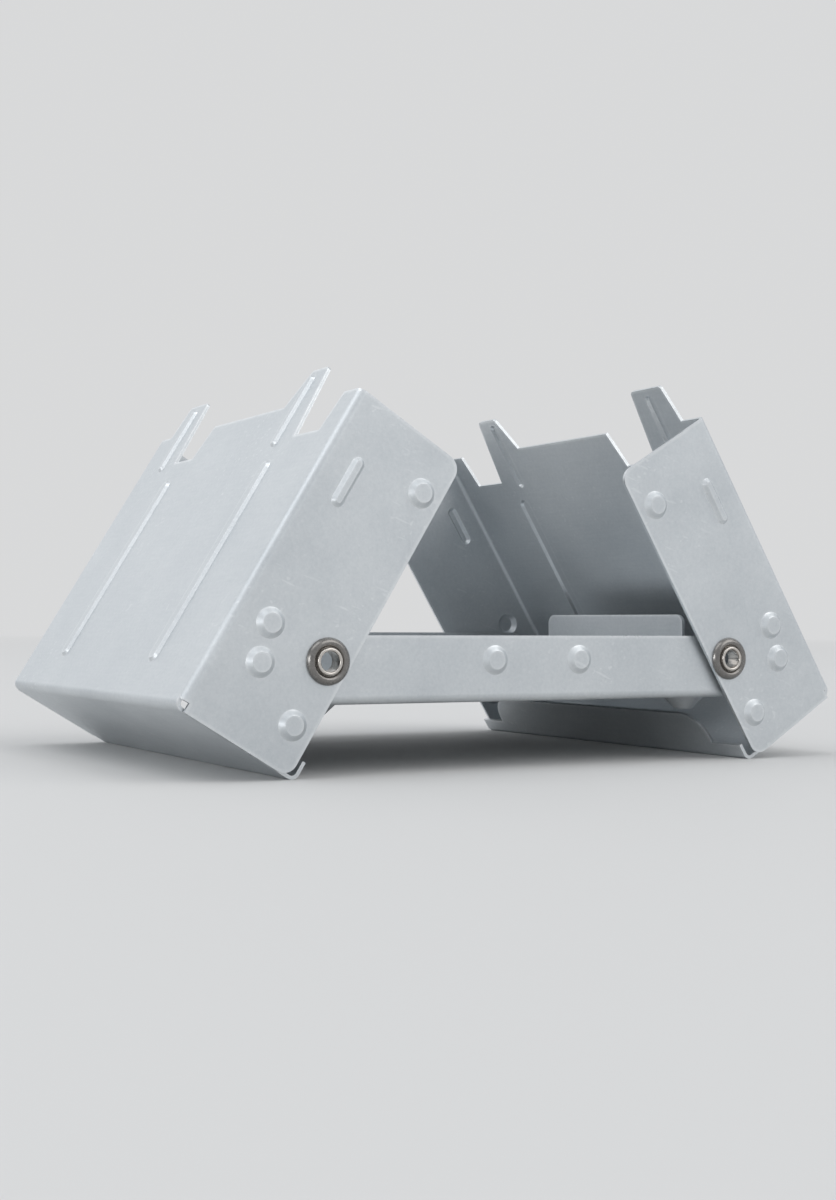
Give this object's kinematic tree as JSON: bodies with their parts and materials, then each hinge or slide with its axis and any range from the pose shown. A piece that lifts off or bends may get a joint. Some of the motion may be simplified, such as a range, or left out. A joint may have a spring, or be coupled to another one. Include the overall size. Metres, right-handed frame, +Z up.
{
  "type": "pocket solid fuel stove",
  "caption": "Folding pocket stove of sheet steel: a shallow fuel tray between two hinged wings that open as windscreen, legs and pot rest.",
  "frame": {"origin": "centre of the footprint, on the ground that the half-open stove stands on", "axes": "+Z up, +X from the left wing to the right wing along the tray, Y across the stove along the hinge lines"},
  "size_m": [0.1076, 0.077, 0.0565],
  "materials": {
    "zinc_plated_sheet": "satin zinc-plated sheet with soft highlights on the folds",
    "nickel_plated_eyelet": "bright nickel plating",
    "nickel_plated_washer": "bright nickel plating, slightly dulled"
  },
  "bodies": {
    "base": {"base_tray": "zinc_plated_sheet", "eyelet_front_left": "nickel_plated_eyelet", "eyelet_front_right": "nickel_plated_eyelet", "eyelet_back_left": "nickel_plated_eyelet", "eyelet_back_right": "nickel_plated_eyelet", "washer_front_left": "nickel_plated_washer", "washer_front_right": "nickel_plated_washer", "washer_back_left": "nickel_plated_washer", "washer_back_right": "nickel_plated_washer"},
    "left_wing": {"left_wing": "zinc_plated_sheet"},
    "right_wing": {"right_wing": "zinc_plated_sheet"}
  },
  "joints": [
    {"name": "left_wing_hinge", "type": "hinge", "parent": "base", "child": "left_wing", "pos_m": [-0.0334, 0, 0.0152], "axis": [0, -1, 0], "range_deg": [-58.5, 31.5]},
    {"name": "right_wing_hinge", "type": "hinge", "parent": "base", "child": "right_wing", "pos_m": [0.0334, 0, 0.0152], "axis": [0, 1, 0], "range_deg": [-58.5, 31.5]}
  ]
}
